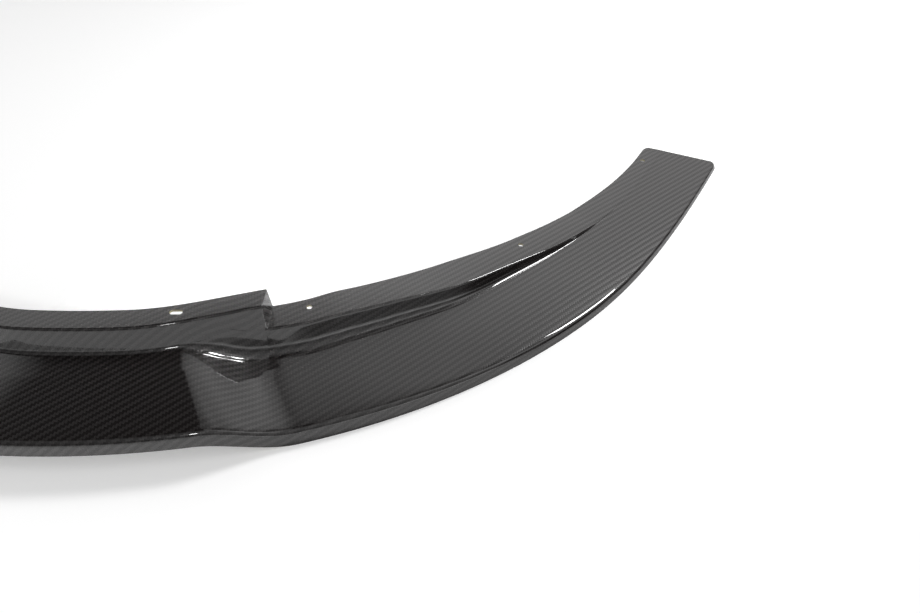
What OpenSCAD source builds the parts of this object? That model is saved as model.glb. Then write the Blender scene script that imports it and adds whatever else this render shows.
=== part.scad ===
// Front splitter lip for a car, one moulded carbon-fibre skin.
// The front of the car faces -Y, +Z is up, and the plane X = 0 is the plane of symmetry.
// The skin is lofted through stations along the front edge. Each station has one section:
// mounting flange, crease, riser, fillet, broad blade, rolled nose and front face.

/* [Plan] */
// Half of the overall width, centre to tip
half_w = 794; // [720:2:860]
// How far the tip of the front edge lies behind the centre
sweep = 530; // [430:2:580]
// Straightness of the front edge at the centre
nose_pull = 468; // [380:2:520]
// Shoulder of the front edge, across the car
shoulder_x = 594; // [540:2:640]
// Shoulder of the front edge, behind the centre
shoulder_y = 303; // [240:2:340]
// Straightness of the front edge at the tip
tip_pull = 456; // [300:2:500]
// Direction of the front edge at the tip, from across the car
tip_ang = 59.3; // [50:0.1:68]
// Turn of the cut end away from square
end_skew = 9; // [0:0.5:15]
// Distance over which the sections turn, beside the web and at the tip
turn_l = 160; // [120:5:200]
// Corner radius of the cut end
end_r = 6; // [3:0.5:14]

/* [Width of the lip] */
// Front to rear at the centre
mid_w = 144.5; // [130:0.5:160]
// Where the lip starts to widen, across the car
widen_from = 50; // [20:5:90]
// Front to rear along the inner wings
wing_w = 158; // [145:0.5:175]
// Front to rear at the shoulder of the wing
outer_w = 146; // [135:0.5:152]
// Front to rear at the tip
tip_w = 111; // [95:0.5:125]

/* [Skin] */
// Laminate thickness
skin_t = 2.5; // [2:0.1:3.5]

/* [Flanges] */
// Height of the centre flange
deck_h = 79; // [70:1:90]
// Width of the centre flange
deck_w = 27; // [24:0.5:34]
// Front edge to the wing crease at its inner end
crease_in = 122.5; // [116:0.5:128]
// Front edge to the wing crease at mid wing
crease_mid = 114; // [106:0.5:119]
// Front edge to the wing crease at its outer end
crease_out = 84; // [74:1:94]
// Height of the wing flange over the blade at its inner end
step_h = 29; // [22:1:34]
// Where the step has faded to a soft fold, across the car
fade_x = 672; // [580:5:700]
// Height of the soft fold where the step ends
fold_h = 1.2; // [0.6:0.1:2]
// Where the soft fold ends, across the car
fold_x = 745; // [715:5:770]
// Step web between centre flange and wing flange, across the car
web_x = 190; // [175:1:205]
// Lean of the step web over its height
web_draft = 1.6; // [1.2:0.1:3]
// Radius of the crease along the flange
crease_r = 4; // [3:0.5:6]
// Radius of the bend half way up the tall riser
knee_r = 16; // [8:1:24]

/* [Riser and blade] */
// Depth taken by the riser at its inner end
riser_run = 10; // [7:0.5:14]
// How much steeper the riser gets just outside the web, as depth
riser_gain = 2.5; // [0:0.5:6]
// Depth taken by the low riser toward the tip
riser_low_run = 2.4; // [1.8:0.1:6]
// Radius of the fillet between riser and blade on the wings
fillet_r = 17; // [10:0.5:20]
// Radius of the same fillet on the raised centre
fillet_mid_r = 6; // [4:0.5:10]
// Rise of the blade toward the riser
blade_rise = 4.5; // [0:0.5:6]

/* [Nose] */
// Height of the front face on the centre and inner wings
face_h = 18.5; // [15:0.5:25]
// Height of the front face at the tip
face_tip_h = 5.5; // [4:0.5:8]
// Where the front face starts to shrink, across the car
face_from = 250; // [200:5:400]
// How far the lower edge stands in front of the roll
face_rake = 3; // [1:0.5:6]
// Radius of the nose roll
roll_r = 8; // [4.5:0.5:9]

/* [Raised centre] */
// Height of the centre over the wings
plateau_h = 26; // [18:1:30]
// Slope of the raised centre, up toward the rear
plateau_tilt = 0.05; // [0:0.01:0.12]
// Start of the ramp at the lower front edge, across the car
ramp_from = 138; // [120:1:150]
// Start of the ramp on top of the nose, across the car
ramp_top_from = 150; // [120:1:160]
// End of the ramp at the front edge
ramp_to = 236; // [215:1:260]
// Lean of the ramp toward the centre, across over depth
ramp_lean = 0.46; // [0:0.02:0.6]

/* [Screw holes] */
// Diameter of every screw hole
hole_d = 6.6; // [5.5:0.1:8.5]
// Overall length of the centre slot
slot_l = 14; // [10:0.5:18]
// Centre slot, across the car
slot_x = 101.5; // [70:0.5:115]
// First wing hole, across the car
hole_a_x = 232.5; // [222:0.5:260]
// Second wing hole, across the car
hole_b_x = 479.5; // [400:0.5:520]
// Tip hole, inward from the end of the front edge
tip_hole_from = 114; // [106:1:140]
// Centre slot to rear edge
slot_in = 11; // [9:0.5:15]
// First wing hole to rear edge
hole_a_in = 13.5; // [11:0.5:20]
// Second wing hole to rear edge
hole_b_in = 15.5; // [11:0.5:20]
// Tip hole to rear edge
tip_hole_in = 10.5; // [9:0.5:16]

/* [Hidden] */
$fn = 48;

// stations from the centre to the web, down the ramp, along the wing and round the tip corners
n_mid = 16;
n_ramp = 5;
n_wing = 27;
n_end = 4;
hole_c_x = half_w - tip_hole_from;

// plan of the front edge, with its centre at the origin
p1 = [nose_pull, 0];
p2 = [shoulder_x, shoulder_y];
p3 = [half_w - tip_pull * cos(tip_ang), sweep - tip_pull * sin(tip_ang)];
p4 = [half_w, sweep];
function edge(t) =
    let (s = 1 - t)
    4 * s * s * s * t * p1 + 6 * s * s * t * t * p2 + 4 * s * t * t * t * p3 + pow(t, 4) * p4;
function edge_d(t) =
    let (s = 1 - t)
    4 * (s * s * s * p1 + 3 * s * s * t * (p2 - p1) + 3 * s * t * t * (p3 - p2) + t * t * t * (p4 - p3));
function edge_t(x, lo = 0, hi = 1, n = 22) =
    n == 0 ? (lo + hi) / 2
    : edge((lo + hi) / 2)[0] < x ? edge_t(x, (lo + hi) / 2, hi, n - 1)
    : edge_t(x, lo, (lo + hi) / 2, n - 1);

// eased step from 0 to 1 between a and b
function ease(x, a, b) = let (u = max(0, min(1, (x - a) / (b - a)))) u * u * (3 - 2 * u);
function mix(a, b, k) = a + (b - a) * k;

// direction of a section in plan, straight back on the centre and square to the edge on the wing
function lay(x, t) =
    let (e = edge_d(t), turn = atan2(e[1], e[0]) * ease(x, web_x, web_x + turn_l),
         a = turn + end_skew * ease(x, half_w - turn_l, half_w))
    [-sin(a), cos(a)];

// sizes that change along the lip
function lip_w(x) =
    mix(mid_w, wing_w, ease(x, widen_from, web_x + deck_w / 2))
    - (wing_w - outer_w) * ease(x, half_w * 0.59, half_w * 0.815)
    - (outer_w - tip_w) * ease(x, half_w * 0.726, half_w * 0.977);
function face(x) = mix(face_h, face_tip_h, ease(x, face_from, half_w));
function rise(x, d) =
    let (top = min(1, d / face_rake), high = plateau_h + plateau_tilt * (d - mid_w * 0.37) * top)
    high * (1 - ease(x + ramp_lean * d, mix(ramp_from, ramp_top_from, top), ramp_to));
// depth by which the riser gets steeper just outside the web
function steepen(x) = riser_gain * ease(x, web_x, web_x + 70);
function wing_crease(x) =
    crease_in - steepen(x)
    - (crease_in - riser_gain - crease_mid) * ease(x, half_w * 0.47, half_w * 0.61)
    - (crease_mid - crease_out) * ease(x, half_w * 0.65, fold_x - 5);
function wing_step(x) =
    max(step_h * (1 - pow(max(0, x - web_x) / (fade_x - web_x), 1.9)),
        fold_h * (1 - ease(x, fade_x, fold_x)), 0.3);

// the section as corners [depth, height, radius], from rear edge to lower front edge
function corners(x, deck) =
    let (w = lip_w(x), f = face(x), st = wing_step(x),
         cd = deck ? w - deck_w : wing_crease(x),
         run = max(1.5, min(riser_low_run, 2.4 * st), (riser_run - steepen(x)) * st / step_h),
         guess = cd - 1.5 * run,
         foot_z = f + blade_rise * f / face_h + rise(x, guess),
         top_z = deck ? deck_h : foot_z + st,
         tall = top_z - foot_z,
         lo_h = min(st, tall - max(0.2 * tall, min(3.4, 0.55 * tall))),
         lo_r = run * lo_h / st,
         up_h = tall - lo_h,
         // beside the web the upper part meets the wing crease
         beside_web = (lip_w(web_x) - deck_w - wing_crease(web_x)) / (deck_h - face_h - blade_rise - step_h),
         up_r = up_h * mix(run / st, beside_web, deck ? min(1, max(0, tall - st) / 18) : 0),
         foot_d = cd - up_r - lo_r,
         // both bends get tighter where the riser is low
         low = min(1, tall / 24),
         fillet = mix(fillet_mid_r, fillet_r, ease(x, ramp_from - 40, ramp_from + 20)),
         blade = [for (i = [4 : -1 : 0])
             let (k = mix(0.15, 0.73, i / 4), d = mix(face_rake, foot_d, k))
             [d, f + blade_rise * f / face_h * k + rise(x, d), 0]])
    concat(
        [[w, top_z, 0], [cd, top_z, crease_r * max(low, 0.3)], [cd - up_r, top_z - up_h, knee_r],
         [foot_d, foot_z, max(1.5, fillet * pow(low, 1.5))]],
        blade,
        [[face_rake, f + rise(x, face_rake), roll_r], [0, rise(x, 0), 0]]);

function unit(v) = v / norm(v);
function flat2(p) = [p[0], p[1]];
// outward side of a run of the section that goes from a to b
function side(a, b) = let (u = unit(flat2(b) - flat2(a))) [u[1], -u[0]];

// the same corners moved inward by the skin thickness
function inner(c) =
    let (n = len(c) - 1)
    [for (i = [0 : n])
        let (s0 = side(c[max(i, 1) - 1], c[max(i, 1)]),
             s1 = side(c[min(i, n - 1)], c[min(i, n - 1) + 1]),
             m = (s0 + s1) / (1 + s0 * s1),
             bend = s0[0] * s1[1] - s0[1] * s1[0],
             q = flat2(c[i]) - skin_t * m,
             down = [-s0[1], s0[0]],
             p = i < n ? q : q + down * (c[n][1] - q[1]) / down[1])
        [p[0], p[1], c[i][2] == 0 ? 0 : max(0.6, c[i][2] + (bend > 0 ? -skin_t : skin_t))]];

// a corner turned into a short curve of n + 1 points
function corner(a, b, c, r, n) =
    let (p = flat2(a), q = flat2(b), s = flat2(c),
         u = unit(p - q), v = unit(s - q),
         half_ang = acos(max(-1, min(1, u * v))) / 2,
         reach = max(1, r / max(0.01, tan(half_ang))),
         tl = min(reach, 0.45 * norm(p - q), 0.45 * norm(s - q)))
    [for (i = [0 : n])
        let (k = i / n)
        (1 - k) * (1 - k) * (q + tl * u) + 2 * k * (1 - k) * q + k * k * (q + tl * v)];

function section(c) =
    let (n = len(c) - 1)
    concat([flat2(c[0])],
        corner(c[0], c[1], c[2], c[1][2], 3),
        corner(c[1], c[2], c[3], c[2][2], 2),
        corner(c[2], c[3], c[4], c[3][2], 5),
        [for (i = [4 : n - 2]) flat2(c[i])],
        corner(c[n - 2], c[n - 1], c[n], c[n - 1][2], 4),
        [flat2(c[n])]);

// depth pulled in from both edges near the cut end, which rounds its corners
function pull(x) =
    let (s = max(0, x - (half_w - end_r)) / end_r) end_r * (1 - sqrt(max(0, 1 - s * s)));
function place(x, p, w) =
    let (t = edge_t(x), q = min(pull(x), end_r * 0.96),
         d = q + p[0] * (w - 2 * q) / w,
         xy = edge(t) + d * lay(x, t))
    [xy[0], xy[1], p[1]];

// one closed ring of points, skin outside then skin inside
function ring(x, xi, deck) =
    let (a = section(corners(x, deck)), b = section(inner(corners(xi, deck))), n = len(a))
    concat([for (p = a) place(x, p, lip_w(x))],
           [for (i = [n - 1 : -1 : 0]) place(xi, b[i], lip_w(xi))]);

// where the ramp has surely ended
ramp_end = max(ramp_to + 10, web_x + 30);

right = concat(
    [for (i = [0 : n_mid]) let (x = (web_x - 9) * pow(i / n_mid, 0.8)) ring(x, x, true)],
    [ring(web_x, web_x - skin_t, true)],
    [ring(web_x + web_draft, web_x + web_draft - skin_t, false)],
    [for (i = [1 : n_ramp]) let (x = mix(web_x, ramp_end, i / n_ramp)) ring(x, x, false)],
    [for (i = [1 : n_wing])
        let (t0 = edge_t(ramp_end), t1 = edge_t(half_w - end_r), x = edge(mix(t0, t1, i / n_wing))[0])
        ring(x, x, false)],
    [for (i = [1 : n_end]) let (x = half_w - end_r + end_r * sin(90 * i / n_end)) ring(x, x, false)]);

m = len(right[0]);
half_n = len(right) - 1;
rings = concat(
    [for (i = [half_n : -1 : 1]) [for (p = right[i]) [-p[0], p[1], p[2]]]],
    right);
last = len(rings) - 1;
points = [for (r = rings) each r];

// walls between rings, cut the same way on both halves, then the two cut ends
walls = [for (i = [0 : last - 1], j = [0 : m - 1])
    let (a = i * m + j, b = i * m + (j + 1) % m, c = a + m, d = b + m)
    each (i < half_n ? [[a, c, b], [b, c, d]] : [[a, d, b], [a, c, d]])];
ends = [for (j = [0 : m / 2 - 2])
    let (a = j, b = j + 1, c = m - 2 - j, d = m - 1 - j, z = last * m)
    each [[a, b, c], [a, c, d], [z + a, z + c, z + b], [z + a, z + d, z + c]]];

// position of a hole that lies at x, measured from the rear edge
function hole_at(x, inset, lo = 0, hi = 1, n = 24) =
    let (t = (lo + hi) / 2, e = edge(t), p = e + (lip_w(e[0]) - inset) * lay(e[0], t))
    n == 0 ? [x, p[1]]
    : p[0] < x ? hole_at(x, inset, t, hi, n - 1)
    : hole_at(x, inset, lo, t, n - 1);

slot_y = hole_at(slot_x, slot_in)[1];
hole_a_y = hole_at(hole_a_x, hole_a_in)[1];
hole_b_y = hole_at(hole_b_x, hole_b_in)[1];
hole_c_y = hole_at(hole_c_x, tip_hole_in)[1];

// the middle of the part in depth is put at Y = 0
back_y = max([for (p = points) p[1]]);
mid_y = back_y / 2;
echo(holes_y = [slot_y - mid_y, hole_a_y - mid_y, hole_b_y - mid_y, hole_c_y - mid_y]);
echo(depth = back_y, points = len(points), faces = len(walls) + len(ends));

module screw_hole(x, y) {
    translate([x, y, -5])
        cylinder(h = deck_h + 10, d = hole_d);
}

module screw_slot(x, y) {
    half_l = (slot_l - hole_d) / 2;
    screw_hole(x - half_l, y);
    screw_hole(x + half_l, y);
    translate([x - half_l, y - hole_d / 2, -5])
        cube([2 * half_l, hole_d, deck_h + 10]);
}

module splitter_lip() {
    color("#26282b")
        translate([0, -mid_y, 0])
            difference() {
                polyhedron(points = points, faces = concat(walls, ends), convexity = 6);
                for (s = [-1, 1]) {
                    screw_slot(s * slot_x, slot_y);
                    screw_hole(s * hole_a_x, hole_a_y);
                    screw_hole(s * hole_b_x, hole_b_y);
                    screw_hole(s * hole_c_x, hole_c_y);
                }
            }
}

splitter_lip();
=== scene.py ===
"""Front splitter lip in clear-coated 2x2 twill carbon fibre, on a white studio table.

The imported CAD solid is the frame. Its skin is lofted again here at a finer step, with the same
section and the same sizes, so that reflections run smoothly, and with cloth coordinates that
follow the drape of the twill over the risers and the rolled nose.
"""
import math

import bpy
import numpy as np
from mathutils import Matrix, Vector


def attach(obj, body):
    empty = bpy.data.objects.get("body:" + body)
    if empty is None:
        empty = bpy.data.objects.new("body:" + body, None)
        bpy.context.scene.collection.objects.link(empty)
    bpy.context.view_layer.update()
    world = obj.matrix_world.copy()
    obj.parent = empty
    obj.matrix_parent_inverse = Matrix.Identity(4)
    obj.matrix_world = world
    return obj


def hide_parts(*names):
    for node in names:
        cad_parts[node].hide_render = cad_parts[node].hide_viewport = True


MM = 0.001

# ---------------------------------------------------------------- sizes, as in the CAD part
# plan of the front edge
HALF_W = 794 * MM
SWEEP = 530 * MM
NOSE_PULL = 468 * MM
SHOULDER = (594 * MM, 303 * MM)
TIP_PULL = 456 * MM
TIP_ANG = math.radians(59.3)
END_SKEW = math.radians(9)
TURN_L = 160 * MM
END_R = 6 * MM
# width of the lip from front to rear
MID_W = 144.5 * MM
WIDEN_FROM = 50 * MM
WING_W = 158 * MM
OUTER_W = 146 * MM
TIP_W = 111 * MM
# skin and flanges
SKIN_T = 2.5 * MM
DECK_H = 79 * MM
DECK_W = 27 * MM
CREASE_IN = 122.5 * MM
CREASE_MID = 114 * MM
CREASE_OUT = 84 * MM
STEP_H = 29 * MM
FADE_X = 672 * MM
FOLD_H = 1.2 * MM
FOLD_X = 745 * MM
WEB_X = 190 * MM
WEB_DRAFT = 1.6 * MM
WEB_R = 1.3 * MM
WEB_SIDE = 9 * MM  # stretch on each side of the web that is lofted with it
CREASE_R = 4 * MM
KNEE_R = 16 * MM
# riser, blade and nose
RISER_RUN = 10 * MM
RISER_GAIN = 2.5 * MM
RISER_LOW_RUN = 2.4 * MM
FILLET_R = 17 * MM
FILLET_MID_R = 6 * MM
BLADE_RISE = 4.5 * MM
FACE_H = 18.5 * MM
FACE_TIP_H = 5.5 * MM
FACE_FROM = 250 * MM
FACE_RAKE = 3 * MM
ROLL_R = 8 * MM
# raised centre
PLATEAU_H = 26 * MM
PLATEAU_TILT = 0.05
RAMP_FROM = 138 * MM
RAMP_TOP_FROM = 150 * MM
RAMP_TO = 236 * MM
RAMP_LEAN = 0.46
# screw holes: across the car, inward from the rear edge
HOLE_D = 6.6 * MM
SLOT_L = 14 * MM
SLOT_X, SLOT_IN = 101.5 * MM, 11 * MM
HOLES = [(232.5 * MM, 13.5 * MM), (479.5 * MM, 15.5 * MM), (HALF_W - 114 * MM, 10.5 * MM)]
# cloth
TOW = 2.52 * MM
CLOTH_TURN = math.radians(6)
CLOTH_SWAY = 1.1 * MM
HAIRS = 26.0  # filament bundles across one tow
PLY_T = 0.5 * MM
WARP_COLOR = (0.0158, 0.0136, 0.0135)
WEFT_COLOR = (0.0081, 0.0067, 0.0066)

# how finely the skin is lofted
STEP_MID = 3.2 * MM
STEP_RAMP = 3.2 * MM
STEP_WING = 5 * MM
N_END = 4
N_CREASE, N_KNEE, N_FOOT, N_BLADE, N_ROLL, N_RIM = 8, 4, 14, 16, 12, 3
N_WEB_BEND, N_WEB_WALL = 6, 5
N_HOLE = 32
SHARP_FROM = math.radians(38)

# camera: where the photograph was taken from, in the frame's own axes
CAM_AT = (401 * MM, -643.8 * MM, 600 * MM)
CAM_TILT = 45.6  # degrees below level
FOCAL_PX = 686
IMAGE_W = 920
SENSOR_W = 36.0  # in mm, as the lens is
# half the side of the white table
TABLE_HALF = 6.0


# ---------------------------------------------------------------- plan of the lip
def front_edge(t):
    """Front edge as a quartic curve, and its direction, for parameter t from 0 to 1."""
    t = np.asarray(t, float)[..., None]
    s = 1 - t
    p1 = np.array([NOSE_PULL, 0])
    p2 = np.array(SHOULDER)
    p4 = np.array([HALF_W, SWEEP])
    p3 = p4 - TIP_PULL * np.array([math.cos(TIP_ANG), math.sin(TIP_ANG)])
    at = 4 * s**3 * t * p1 + 6 * s**2 * t**2 * p2 + 4 * s * t**3 * p3 + t**4 * p4
    along = 4 * (s**3 * p1 + 3 * s**2 * t * (p2 - p1) + 3 * s * t**2 * (p3 - p2) + t**3 * (p4 - p3))
    return at, along


# the edge sampled finely, to look up t for an x
_T = np.linspace(0, 1, 20001)
_X = front_edge(_T)[0][:, 0]


def edge_t(x):
    """The parameter at which the front edge reaches x."""
    return np.interp(x, _X, _T)


def ease(x, a, b):
    """Eased step from 0 to 1 between a and b."""
    u = min(1.0, max(0.0, (x - a) / (b - a)))
    return u * u * (3 - 2 * u)


def mix(a, b, k):
    return a + (b - a) * k


def lay(x):
    """Direction of a section in plan: straight back on the centre, square to the edge outside."""
    along = front_edge(edge_t(x))[1]
    turn = math.atan2(along[1], along[0]) * ease(x, WEB_X, WEB_X + TURN_L)
    a = turn + END_SKEW * ease(x, HALF_W - TURN_L, HALF_W)
    return np.array([-math.sin(a), math.cos(a)])


# ---------------------------------------------------------------- sizes that change along it
def lip_w(x):
    return (
        mix(MID_W, WING_W, ease(x, WIDEN_FROM, WEB_X + DECK_W / 2))
        - (WING_W - OUTER_W) * ease(x, HALF_W * 0.59, HALF_W * 0.815)
        - (OUTER_W - TIP_W) * ease(x, HALF_W * 0.726, HALF_W * 0.977)
    )


def face(x):
    return mix(FACE_H, FACE_TIP_H, ease(x, FACE_FROM, HALF_W))


def rise(x, d):
    """Height of the raised centre at depth d: a tilted plateau with a skewed ramp at its side."""
    top = min(1, d / FACE_RAKE)
    high = PLATEAU_H + PLATEAU_TILT * (d - MID_W * 0.37) * top
    return high * (1 - ease(x + RAMP_LEAN * d, mix(RAMP_FROM, RAMP_TOP_FROM, top), RAMP_TO))


def steepen(x):
    """Depth by which the riser gets steeper just outside the web."""
    return RISER_GAIN * ease(x, WEB_X, WEB_X + 70 * MM)


def wing_crease(x):
    return (
        CREASE_IN - steepen(x)
        - (CREASE_IN - RISER_GAIN - CREASE_MID) * ease(x, HALF_W * 0.47, HALF_W * 0.61)
        - (CREASE_MID - CREASE_OUT) * ease(x, HALF_W * 0.65, FOLD_X - 5 * MM)
    )


def wing_step(x):
    """Height of the riser: it sinks to a soft fold, which then dies into the blade."""
    return max(
        STEP_H * (1 - (max(0.0, x - WEB_X) / (FADE_X - WEB_X)) ** 1.9),
        FOLD_H * (1 - ease(x, FADE_X, FOLD_X)),
        0.3 * MM,
    )


# ---------------------------------------------------------------- one section
def corners(x, deck):
    """Corners of a section [depth, height, radius], from rear edge to lower front edge."""
    w, f, st = lip_w(x), face(x), wing_step(x)
    crown = BLADE_RISE * f / FACE_H
    crease_d = w - DECK_W if deck else wing_crease(x)
    run = max(1.5 * MM, min(RISER_LOW_RUN, 2.4 * st), (RISER_RUN - steepen(x)) * st / STEP_H)
    foot_z = f + crown + rise(x, crease_d - 1.5 * run)
    top_z = DECK_H if deck else foot_z + st
    tall = top_z - foot_z
    lo_h = min(st, tall - max(0.2 * tall, min(3.4 * MM, 0.55 * tall)))
    up_h = tall - lo_h
    # beside the web the upper part meets the wing crease
    beside_web = (lip_w(WEB_X) - DECK_W - wing_crease(WEB_X)) / (DECK_H - FACE_H - BLADE_RISE - STEP_H)
    lean = mix(run / st, beside_web, min(1, max(0, tall - st) / (18 * MM)) if deck else 0)
    up_r = up_h * lean
    foot_d = crease_d - up_r - run * lo_h / st
    # both bends get tighter where the riser is low
    low = min(1, tall / (24 * MM))
    fillet = mix(FILLET_MID_R, FILLET_R, ease(x, RAMP_FROM - 40 * MM, RAMP_FROM + 20 * MM))
    fillet = max(1.5 * MM, fillet * low**1.5)
    c = [(w, top_z, 0), (crease_d, top_z, CREASE_R * max(low, 0.3)),
         (crease_d - up_r, top_z - up_h, KNEE_R), (foot_d, foot_z, fillet)]
    for i in range(N_BLADE, -1, -1):
        k = mix(0.15, 0.73, i / N_BLADE)
        d = mix(FACE_RAKE, foot_d, k)
        c.append((d, f + crown * k + rise(x, d), 0))
    c.append((FACE_RAKE, f + rise(x, FACE_RAKE), ROLL_R))
    c.append((0, rise(x, 0), 0))
    return np.array(c)


def unit(v):
    return v / np.linalg.norm(v)


def outward(a, b):
    """Outward side of a run of the section that goes from a to b."""
    u = unit(b[:2] - a[:2])
    return np.array([u[1], -u[0]])


def inner(c):
    """The same corners moved inward by the skin thickness."""
    n = len(c) - 1
    out = []
    for i in range(n + 1):
        s0 = outward(c[max(i, 1) - 1], c[max(i, 1)])
        s1 = outward(c[min(i, n - 1)], c[min(i, n - 1) + 1])
        bend = s0[0] * s1[1] - s0[1] * s1[0]
        q = c[i, :2] - SKIN_T * (s0 + s1) / (1 + s0 @ s1)
        if i == n:
            down = np.array([-s0[1], s0[0]])
            q = q + down * (c[n, 1] - q[1]) / down[1]
        r = c[i, 2]
        out.append((q[0], q[1], 0 if r == 0 else max(0.6 * MM, r + (-SKIN_T if bend > 0 else SKIN_T))))
    return np.array(out)


def corner(a, b, c, n):
    """A corner turned into a short curve of n + 1 points."""
    p, q, s, r = a[:2], b[:2], c[:2], b[2]
    u, v = unit(p - q), unit(s - q)
    half = math.acos(max(-1.0, min(1.0, float(u @ v)))) / 2
    reach = max(1 * MM, r / max(0.01, math.tan(half)))
    tl = min(reach, 0.45 * np.linalg.norm(p - q), 0.45 * np.linalg.norm(s - q))
    k = np.linspace(0, 1, n + 1)[:, None]
    return (1 - k) ** 2 * (q + tl * u) + 2 * k * (1 - k) * q + k**2 * (q + tl * v)


def section(c):
    """Points of a section, with its corners rounded."""
    n = len(c) - 1
    return np.vstack([
        c[:1, :2],
        corner(c[0], c[1], c[2], N_CREASE),
        corner(c[1], c[2], c[3], N_KNEE),
        corner(c[2], c[3], c[4], N_FOOT),
        c[4:n - 1, :2],
        corner(c[n - 2], c[n - 1], c[n], N_ROLL),
        c[n:, :2],
    ])


# ---------------------------------------------------------------- rings of the loft
def place(x, pts, w):
    """Section points set in plan, with cloth coordinates that follow the arc of the section."""
    s = max(0.0, x - (HALF_W - END_R)) / END_R
    q = min(END_R * (1 - math.sqrt(max(0.0, 1 - s * s))), END_R * 0.96)
    d = q + pts[:, 0] * (w - 2 * q) / w
    at, way = front_edge(edge_t(x))[0], lay(x)
    xy = at + d[:, None] * way
    steps = np.linalg.norm(np.diff(pts, axis=0), axis=1)
    arc = np.concatenate([[0], np.cumsum(steps[::-1])])[::-1]
    anchor = at + (arc - arc[-1])[:, None] * way
    return np.column_stack([xy, pts[:, 1]]), anchor


def ring(x, x_in, k):
    """One closed ring. k is 1 on the centre flange, 0 on the wing, and between on the step web."""
    def blend(x0, turn):
        c0, c1 = corners(x0, False), corners(x0, True)
        a = section(turn(c0)) if k < 1 else 0
        b = section(turn(c1)) if k > 0 else 0
        return mix(a, b, k)
    top = blend(x, lambda c: c)
    low = blend(x_in, inner)
    a, ua = place(x, top, lip_w(x))
    b, ub = place(x_in, low, lip_w(x_in))
    rim = np.linspace(0, 1, N_RIM + 2)[1:-1, None]
    front, back = mix(a[-1], b[-1], rim), mix(b[0], a[0], rim)
    pts = np.vstack([a, front, b[::-1], back])
    cloth = np.vstack([ua, mix(ua[-1], ub[-1], rim), ub[::-1], mix(ub[0], ua[0], rim)])
    return pts, cloth


def web_path():
    """Stations over the step web, x against k, with rounded corners at its head and foot."""
    drop = DECK_H - (FACE_H + BLADE_RISE + STEP_H)
    pts = np.array([[WEB_X - WEB_SIDE, drop, 0], [WEB_X, drop, WEB_R],
                    [WEB_X + WEB_DRAFT, 0, WEB_R], [WEB_X + WEB_SIDE, 0, 0]])
    head = corner(pts[0], pts[1], pts[2], N_WEB_BEND)
    foot = corner(pts[1], pts[2], pts[3], N_WEB_BEND)
    wall = [mix(head[-1], foot[0], i / N_WEB_WALL) for i in range(1, N_WEB_WALL)]
    return [(p[0], min(1.0, max(0.0, p[1] / drop))) for p in [*head, *wall, *foot]]


def half_rings():
    """Rings of the right half, each from a station: x, how far the inner face lies off, and k."""
    deck_end, start, ramp_end = WEB_X - WEB_SIDE, WEB_X + WEB_SIDE, RAMP_TO + 12 * MM
    n = round(deck_end / STEP_MID)
    stations = [(deck_end * i / n, 0, 1.0) for i in range(n + 1)]
    stations += [(x, -SKIN_T, k) for x, k in web_path()]
    n = round((ramp_end - start) / STEP_RAMP)
    stations += [(mix(start, ramp_end, i / n), 0, 0.0) for i in range(n + 1)]
    # along the wing the steps are even on the curve, which is about a third longer than its x
    t0, t1 = edge_t(ramp_end), edge_t(HALF_W - END_R)
    n = round(1.35 * (HALF_W - ramp_end) / STEP_WING)
    xs = front_edge(np.linspace(t0, t1, n + 1)[1:])[0][:, 0]
    stations += [(x, 0, 0.0) for x in xs]
    stations += [(HALF_W - END_R + END_R * math.sin(math.pi / 2 * i / N_END), 0, 0.0)
                 for i in range(1, N_END + 1)]
    return [ring(x, x + shift, k) for x, shift, k in stations]


def hole_y(x, inset):
    """How far back a hole at x lies, when it is inset in from the rear edge."""
    lo, hi = 0.0, 1.0
    for _ in range(40):
        t = (lo + hi) / 2
        e = front_edge(t)[0]
        p = e + (lip_w(e[0]) - inset) * lay(e[0])
        lo, hi = (t, hi) if p[0] < x else (lo, t)
    return float(p[1])


# ---------------------------------------------------------------- mesh
def link(obj):
    """Puts an object in the scene."""
    bpy.context.scene.collection.objects.link(obj)
    return obj


def loft():
    """The skin as one closed mesh, mirrored about the centre, and the y of its middle in depth."""
    right = half_rings()
    # n_top points of each ring are on the outer face, as many on the inner one
    flip_x = np.array([-1, 1, 1])
    rings = [(p * flip_x, c * flip_x[:2]) for p, c in right[:0:-1]] + right
    depth = max(p[:, 1].max() for p, _ in rings)
    shift = np.array([0, -depth / 2, 0])
    m, last = len(rings[0][0]), len(rings) - 1
    verts = np.vstack([p + shift for p, _ in rings])
    cloth = np.vstack([c for _, c in rings])
    n_top = (m - 2 * N_RIM) // 2
    # walls between the rings; rim marks the trimmed edges, which show the laminate
    faces, rim = [], []
    for i in range(last):
        for j in range(m):
            a, b = i * m + j, i * m + (j + 1) % m
            faces.append((a, b, b + m, a + m))
            rim.append(n_top - 1 <= j < n_top + N_RIM or j >= m - N_RIM - 1)
    # the two cut ends, whose first and last faces also take in the points of the rims
    for first, order in ((0, -1), (last * m, 1)):
        for j in range(n_top - 1):
            nose = range(n_top, n_top + N_RIM) if j == n_top - 2 else ()
            tail = range(m - N_RIM, m) if j == 0 else ()
            cap = [j, j + 1, *nose, m - N_RIM - 2 - j, m - N_RIM - 1 - j, *tail]
            faces.append(tuple(first + k for k in cap[::order]))
            rim.append(True)
    mesh = bpy.data.meshes.new("splitter_skin")
    mesh.from_pydata(verts.tolist(), [], faces)
    uv = mesh.uv_layers.new(name="cloth")
    loops = np.empty(len(mesh.loops), dtype=np.int32)
    mesh.loops.foreach_get("vertex_index", loops)
    uv.data.foreach_set("uv", cloth[loops].astype(np.float32).ravel())
    mesh.polygons.foreach_set("material_index", np.array(rim, dtype=np.int32))
    mesh.validate()
    mesh.update()
    return mesh, depth / 2


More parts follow.
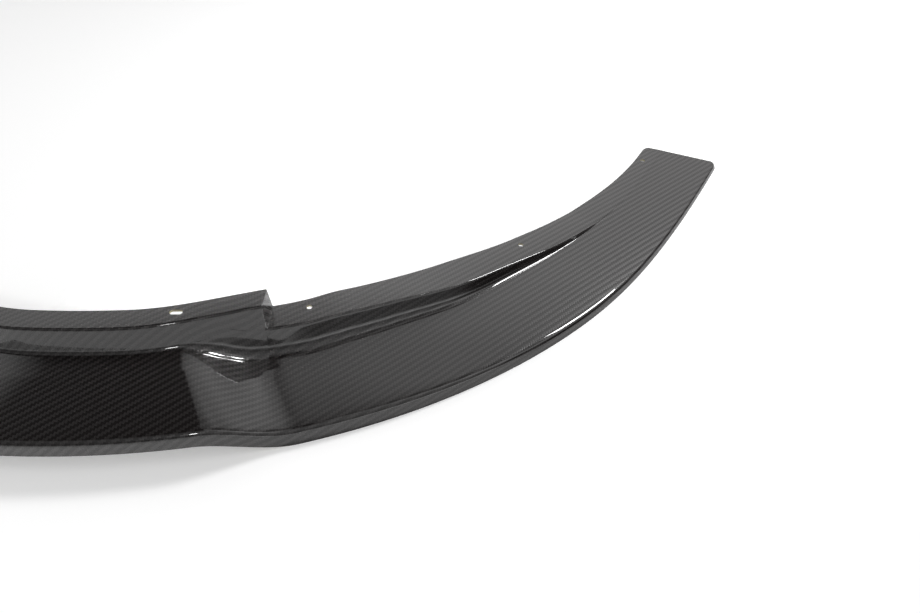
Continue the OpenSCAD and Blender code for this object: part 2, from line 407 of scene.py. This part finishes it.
def cutter(name, x, y, long=0.0):
    """A round punch for one screw hole, or an oblong one with straight sides of length long."""
    r, n = HOLE_D / 2, N_HOLE
    prof = []
    for i in range(n):
        a = 2 * math.pi * i / n
        prof.append((x + math.copysign(long / 2, math.cos(a)) * (long > 0) + r * math.cos(a),
                     y + r * math.sin(a)))
    verts = [(px, py, z) for z in (-5 * MM, DECK_H + 5 * MM) for px, py in prof]
    faces = [tuple(range(n))[::-1], tuple(range(n, 2 * n))]
    faces += [(i, (i + 1) % n, (i + 1) % n + n, i + n) for i in range(n)]
    mesh = bpy.data.meshes.new(name)
    mesh.from_pydata(verts, [], faces)
    mesh.update()
    return link(bpy.data.objects.new(name, mesh))


def punch(obj, mid_y, material):
    """Cuts the screw holes through the flanges."""
    spots = [(SLOT_X, hole_y(SLOT_X, SLOT_IN), SLOT_L - HOLE_D)]
    spots += [(x, hole_y(x, inset), 0) for x, inset in HOLES]
    for i, (x, y, long) in enumerate(spots):
        for side in (-1, 1):
            tool = cutter(f"punch_{i}_{side}", side * x, y - mid_y, long)
            tool.data.materials.append(material)
            mod = obj.modifiers.new(tool.name, "BOOLEAN")
            mod.operation, mod.solver, mod.object = "DIFFERENCE", "EXACT", tool
            mod.material_mode = "TRANSFER"
            tool.hide_render = tool.hide_viewport = True


def apply_modifiers(obj):
    """Makes the holes part of the mesh and removes the punches."""
    deps = bpy.context.evaluated_depsgraph_get()
    mesh = bpy.data.meshes.new_from_object(obj.evaluated_get(deps), depsgraph=deps)
    tools = [m.object for m in obj.modifiers if m.type == "BOOLEAN"]
    obj.modifiers.clear()
    obj.data = mesh
    for tool in tools:
        bpy.data.objects.remove(tool, do_unlink=True)


# ---------------------------------------------------------------- materials
class Nodes:
    """A small help for writing node trees."""

    def __init__(self, tree):
        self.tree = tree
        self.x = 0

    def add(self, kind, **sockets):
        """A new node with its sockets set by name, where _ stands for a space."""
        node = self.tree.nodes.new(kind)
        self.x += 160
        node.location = (self.x, 0)
        for name, value in sockets.items():
            self.set(node, name.replace("_", " "), value)
        return node

    def set(self, node, socket, value):
        """Sets a socket, by name or number, to a constant or to what another node gives."""
        sock = node.inputs[socket]
        if isinstance(value, bpy.types.NodeSocket):
            self.tree.links.new(value, sock)
        else:
            sock.default_value = value

    def math(self, op, *values):
        """What a math node makes of the values."""
        node = self.add("ShaderNodeMath")
        node.operation = op
        for i, value in enumerate(values):
            self.set(node, i, value)
        return node.outputs[0]

    def blend(self, share, a, b, how="MIX"):
        """Two colours in one; share belongs to b."""
        node = self.add("ShaderNodeMix")
        node.data_type, node.blend_type = "RGBA", how
        for socket, value in ((0, share), (6, a), (7, b)):
            self.set(node, socket, value)
        return node.outputs[2]

    def ramp(self, value, stops):
        """A curve through stops of (place, grey) or (place, colour)."""
        node = self.add("ShaderNodeValToRGB", Fac=value)
        elements = node.color_ramp.elements
        while len(elements) < len(stops):
            elements.new(0.5)
        for e, (at, c) in zip(elements, stops):
            e.position = at
            e.color = (c, c, c, 1) if isinstance(c, float) else (*c, 1)
        return node.outputs["Color"]

    def surface(self, shader, kind="Material"):
        """Shows a shader on the material, or in the world."""
        self.add("ShaderNodeOutput" + kind, Surface=shader.outputs[0])


def new_material(name):
    mat = bpy.data.materials.new(name)
    mat.use_nodes = True
    mat.node_tree.nodes.clear()
    return mat, Nodes(mat.node_tree)


def carbon():
    """2x2 twill under a glossy clear coat: floats over two tows, stepping one tow a row."""
    mat, n = new_material("carbon_twill")
    uv = n.add("ShaderNodeUVMap")
    uv.uv_map = "cloth"
    turn = n.add("ShaderNodeVectorRotate", Vector=uv.outputs["UV"], Angle=CLOTH_TURN)
    turn.rotation_type = "Z_AXIS"
    wander = n.add("ShaderNodeTexNoise", Vector=turn.outputs[0], Scale=9.0, Detail=1.0)
    sway = n.add("ShaderNodeVectorMath")
    sway.operation = "MULTIPLY_ADD"
    n.set(sway, 0, wander.outputs["Color"])
    n.set(sway, 1, (CLOTH_SWAY, CLOTH_SWAY, 0))
    n.set(sway, 2, turn.outputs[0])
    xyz = n.add("ShaderNodeSeparateXYZ", Vector=sway.outputs[0])
    u = n.math("DIVIDE", xyz.outputs["X"], TOW)
    v = n.math("DIVIDE", xyz.outputs["Y"], TOW)
    fu, fv = n.math("FRACT", u), n.math("FRACT", v)
    q = n.math("FLOORED_MODULO", n.math("SUBTRACT", n.math("FLOOR", u), n.math("FLOOR", v)), 4.0)
    warp = n.math("LESS_THAN", q, 1.5)
    # place along a float of two cells, and across its tow
    warp_along = n.math("MULTIPLY", n.math("ADD", fv, n.math("SUBTRACT", 1.0, q)), 0.5)
    weft_along = n.math("MULTIPLY", n.math("ADD", fu, n.math("SUBTRACT", q, 2.0)), 0.5)
    weft = n.math("SUBTRACT", 1.0, warp)
    along = n.math("ADD", n.math("MULTIPLY", warp, warp_along), n.math("MULTIPLY", weft, weft_along))
    across = n.math("ADD", n.math("MULTIPLY", warp, fu), n.math("MULTIPLY", weft, fv))
    dome = n.math("SINE", n.math("MULTIPLY", across, math.pi))
    arch = n.math("SINE", n.math("MULTIPLY", along, math.pi))
    height = n.math("MULTIPLY", n.math("POWER", dome, 0.5), n.math("POWER", arch, 0.35))
    # single filaments run along each tow
    hair_u = n.math("ADD", n.math("MULTIPLY", warp, n.math("MULTIPLY", u, HAIRS)),
                    n.math("MULTIPLY", weft, n.math("MULTIPLY", v, HAIRS)))
    hair_v = n.math("ADD", n.math("MULTIPLY", warp, v), n.math("MULTIPLY", weft, u))
    hair_at = n.add("ShaderNodeCombineXYZ", X=hair_u, Y=hair_v, Z=warp)
    hair = n.add("ShaderNodeTexNoise", Vector=hair_at.outputs[0], Scale=1.0, Detail=2.0)
    # painted shade: the cloth is darkened where the weave's relief is low, in the hollows between the
    # tows
    gap_shade = n.ramp(height, [(0.0, 0.35), (0.55, 1.0)])
    tone = n.blend(warp, (*WEFT_COLOR, 1), (*WARP_COLOR, 1))
    streak = n.ramp(hair.outputs["Fac"], [(0.3, 0.72), (0.7, 1.28)])
    shade = n.blend(1.0, n.blend(1.0, tone, streak, "MULTIPLY"), gap_shade, "MULTIPLY")
    tangent = n.add("ShaderNodeTangent")
    tangent.direction_type, tangent.uv_map = "UV_MAP", "cloth"
    relief = n.math("ADD", height, n.math("MULTIPLY", hair.outputs["Fac"], 0.12))
    bump = n.add("ShaderNodeBump", Height=relief, Strength=0.5, Distance=0.10 * MM)
    orange = n.add("ShaderNodeTexNoise", Vector=uv.outputs["UV"], Scale=55.0, Detail=2.0)
    coat_bump = n.add("ShaderNodeBump", Height=orange.outputs["Fac"], Strength=0.04, Distance=0.25 * MM)
    n.surface(n.add(
        "ShaderNodeBsdfPrincipled", Roughness=0.32, Metallic=0.0, IOR=1.5, Anisotropic=0.3,
        Base_Color=shade, Specular_IOR_Level=n.math("MULTIPLY_ADD", warp, 0.14, 0.08),
        Anisotropic_Rotation=n.math("MULTIPLY", warp, 0.25), Tangent=tangent.outputs[0],
        Normal=bump.outputs[0], Coat_Weight=1.0, Coat_Roughness=0.03, Coat_IOR=1.6,
        Coat_Normal=coat_bump.outputs[0]))
    return mat


def raw_edge():
    """Trimmed laminate: thin layers of cloth in amber resin."""
    mat, n = new_material("raw_laminate_edge")
    where = n.add("ShaderNodeTexCoord")
    xyz = n.add("ShaderNodeSeparateXYZ", Vector=where.outputs["Object"])
    plies = n.math("SINE", n.math("MULTIPLY", xyz.outputs["Z"], 2 * math.pi / PLY_T))
    grain = n.add("ShaderNodeTexNoise", Vector=where.outputs["Object"], Scale=1800.0, Detail=3.0)
    layers = n.math("ADD", n.math("MULTIPLY", plies, 0.12), grain.outputs["Fac"])
    color = n.ramp(layers, [(0.35, (0.30, 0.27, 0.17)), (0.6, (0.62, 0.57, 0.40))])
    bump = n.add("ShaderNodeBump", Height=grain.outputs["Fac"], Strength=0.4, Distance=0.05 * MM)
    n.surface(n.add("ShaderNodeBsdfPrincipled", Roughness=0.6, Base_Color=color,
                    Normal=bump.outputs[0]))
    return mat


def table_top():
    """White table. It keeps the part's soft shadow; beside it the camera sees plain white."""
    mat, n = new_material("white_table")
    path = n.add("ShaderNodeLightPath")
    diffuse = n.add("ShaderNodeBsdfDiffuse", Color=(0.92, 0.92, 0.92, 1), Roughness=1.0)
    # a faint glow for the camera and for reflections, which sheds no light on the part's cloth
    mirrored = n.math("MULTIPLY", path.outputs["Is Glossy Ray"], 0.14)
    glow = n.add("ShaderNodeEmission", Color=(1, 1, 1, 1),
                 Strength=n.math("MULTIPLY_ADD", path.outputs["Is Camera Ray"], 0.22, mirrored))
    both = n.add("ShaderNodeAddShader")
    n.set(both, 0, diffuse.outputs[0])
    n.set(both, 1, glow.outputs[0])
    n.surface(both)
    return mat


# ---------------------------------------------------------------- studio
# brightness against elevation in degrees: behind the part, then low and high on the camera's side
REAR = [(-90, 1.0), (20, 1.25), (30, 1.38), (41, 1.5), (46, 1.2), (50, 0.95), (55, 0.87), (60, 0.44),
        (70, 0.22), (78, 0.45), (90, 0.9)]
LOW = [(-90, 1.0), (-4, 1.2), (-1, 2.0), (4, 1.9), (8, 1.15), (13, 0.55), (20, 0.36), (30, 0.36),
       (36, 0.0), (90, 0.0)]
HIGH = [(-90, 0.0), (29, 0.0), (36, 0.75), (50, 0.78), (57, 1.05), (64, 0.95), (90, 0.9)]
# share of that brightness against azimuth: 0 is straight behind and 90 to the right
REAR_ROUND = [(-180, 0.6), (-45, 0.6), (-28, 0.72), (-8, 0.95), (5, 0.97), (10, 0.88), (15, 0.75),
              (19, 0.66), (22, 0.63), (30, 0.6), (180, 0.6)]
LOW_ROUND = [(-180, 0.6), (-170, 0.45), (-150, 0.4), (-60, 0.4), (60, 0.3), (118, 0.35), (130, 1.2),
             (148, 1.15), (164, 0.85), (180, 0.6)]
HIGH_ROUND = [(-180, 0.55), (-165, 0.35), (-100, 0.3), (0, 0.8), (80, 1.2), (98, 1.9), (110, 1.7),
              (118, 0.9), (140, 0.7), (160, 0.7), (180, 0.55)]
# dark flags, as elevation and azimuth: one high on the left, one low on the right
FLAG_LEFT = ([(-90, 0.0), (46, 0.0), (48.5, 1.0), (90, 1.0)],
             [(-180, 0.0), (-100, 0.0), (-80, 1.0), (-27, 1.0), (-22, 0.0), (180, 0.0)])
FLAG_RIGHT = ([(-90, 1.0), (34, 1.0), (42, 0.0), (90, 0.0)],
              [(-180, 0.0), (52, 0.0), (60, 1.0), (112, 1.0), (122, 0.0), (180, 0.0)])
BRIGHTEST = 2.0


def studio_world():
    """Paper sweep behind the part and on the camera's side, a dim ceiling and two dark flags."""
    world = bpy.data.worlds.new("studio")
    bpy.context.scene.world = world
    world.use_nodes = True
    world.node_tree.nodes.clear()
    n = Nodes(world.node_tree)
    way = n.add("ShaderNodeTexCoord")
    xyz = n.add("ShaderNodeSeparateXYZ", Vector=way.outputs["Generated"])
    deg = 180 / math.pi
    el = n.math("MULTIPLY", n.math("ARCSINE", xyz.outputs["Z"]), deg)
    az = n.math("MULTIPLY", n.math("ARCTAN2", xyz.outputs["X"], xyz.outputs["Y"]), deg)

    def curve(value, pts):
        """A curve through pts. A ramp holds 0 to 1, so it holds shares of the span and of BRIGHTEST."""
        lo, hi = pts[0][0], pts[-1][0]
        at = n.math("DIVIDE", n.math("SUBTRACT", value, float(lo)), float(hi - lo))
        share = n.ramp(at, [((x - lo) / (hi - lo), y / BRIGHTEST) for x, y in pts])
        return n.math("MULTIPLY", share, BRIGHTEST)

    def dimmed(light, flag, amount):
        """The light with a flag in front, which takes that amount away."""
        seen = n.math("MULTIPLY", curve(el, flag[0]), curve(az, flag[1]))
        return n.math("MULTIPLY", light, n.math("SUBTRACT", 1.0, n.math("MULTIPLY", seen, amount)))

    rear = n.math("MULTIPLY", curve(el, REAR), curve(az, REAR_ROUND))
    back = n.ramp(n.math("MULTIPLY_ADD", xyz.outputs["Y"], 0.5, 0.5), [(0.42, 0.0), (0.6, 1.0)])
    front = n.math("ADD", n.math("MULTIPLY", curve(el, LOW), curve(az, LOW_ROUND)),
                   n.math("MULTIPLY", curve(el, HIGH), curve(az, HIGH_ROUND)))
    light = n.math("ADD", n.math("MULTIPLY", rear, back),
                   n.math("MULTIPLY", front, n.math("SUBTRACT", 1.0, back)))
    light = dimmed(dimmed(light, FLAG_LEFT, 0.97), FLAG_RIGHT, 0.8)
    path = n.add("ShaderNodeLightPath")
    glow = n.add("ShaderNodeBackground", Color=(1, 1, 1, 1), Strength=light)
    plain = n.add("ShaderNodeBackground", Color=(1, 1, 1, 1), Strength=1.0)
    pick = n.add("ShaderNodeMixShader", Fac=path.outputs["Is Camera Ray"])
    n.set(pick, 1, glow.outputs[0])
    n.set(pick, 2, plain.outputs[0])
    n.surface(pick, "World")


def softbox(name, seen_from, az, el, away, size, bright, grid=90):
    """A softbox in the direction az, el in degrees from a point on the part, its first side level.

    Its size and grid don't change how bright its face is. The egg-crate grid hides it from
    whatever lies more than grid degrees off its axis.
    """
    a, e = math.radians(az), math.radians(el)
    way = Vector((math.sin(a) * math.cos(e), math.cos(a) * math.cos(e), math.sin(e)))
    light = bpy.data.lights.new(name, "AREA")
    light.shape, light.size, light.size_y = "RECTANGLE", *size
    light.energy = math.pi**2 * size[0] * size[1] * bright
    if grid < 90:
        half = math.radians(grid)
        light.spread = 2 * half
        light.energy *= (math.tan(half) - half) / math.tan(half)
    obj = link(bpy.data.objects.new(name, light))
    obj.location = Vector(seen_from) + away * way
    obj.rotation_euler = way.to_track_quat("Z", "Y").to_euler()


def camera():
    cam = bpy.data.cameras.new("photo_camera")
    cam.sensor_fit, cam.sensor_width = "HORIZONTAL", SENSOR_W
    cam.lens = SENSOR_W * FOCAL_PX / IMAGE_W
    cam.clip_start, cam.clip_end = 0.01, 50
    obj = link(bpy.data.objects.new("photo_camera", cam))
    obj.location = CAM_AT
    obj.rotation_euler = (math.radians(90 - CAM_TILT), 0, 0)
    bpy.context.scene.camera = obj


def table():
    s = TABLE_HALF
    mesh = bpy.data.meshes.new("table")
    mesh.from_pydata([(-s, -s, 0), (s, -s, 0), (s, s, 0), (-s, s, 0)], [], [(0, 1, 2, 3)])
    mesh.materials.append(table_top())
    link(bpy.data.objects.new("table", mesh))


# ---------------------------------------------------------------- scene
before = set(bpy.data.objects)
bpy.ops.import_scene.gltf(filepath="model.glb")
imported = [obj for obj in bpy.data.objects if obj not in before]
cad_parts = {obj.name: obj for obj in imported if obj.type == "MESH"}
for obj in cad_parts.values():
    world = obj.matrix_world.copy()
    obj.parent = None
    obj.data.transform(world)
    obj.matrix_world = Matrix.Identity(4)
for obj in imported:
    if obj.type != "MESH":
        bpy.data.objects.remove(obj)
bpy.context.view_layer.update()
camera()

skin_mesh, mid_y = loft()
lip = link(bpy.data.objects.new("splitter_skin", skin_mesh))
lip.data.materials.append(carbon())
edge_mat = raw_edge()
lip.data.materials.append(edge_mat)
punch(lip, mid_y, edge_mat)
apply_modifiers(lip)
lip.data.shade_smooth()
lip.data.set_sharp_from_angle(angle=SHARP_FROM)
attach(lip, "root")
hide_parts("splitter_lip")

table()
studio_world()
softbox("right_rear", (0.482, -0.008, 0.018), az=47, el=50.7, away=1.2, size=(0.30, 0.29),
        bright=14)
softbox("right_strip", (0.131, -0.094, 0.035), az=71.5, el=61.7, away=1.288, size=(0.09, 0.23),
        bright=110, grid=5.5)
softbox("by_camera", (0.10, -0.17, 0.055), az=-171, el=47, away=1.5, size=(0.11, 0.17), bright=14)

view = bpy.context.scene.view_settings
view.view_transform = "Standard"
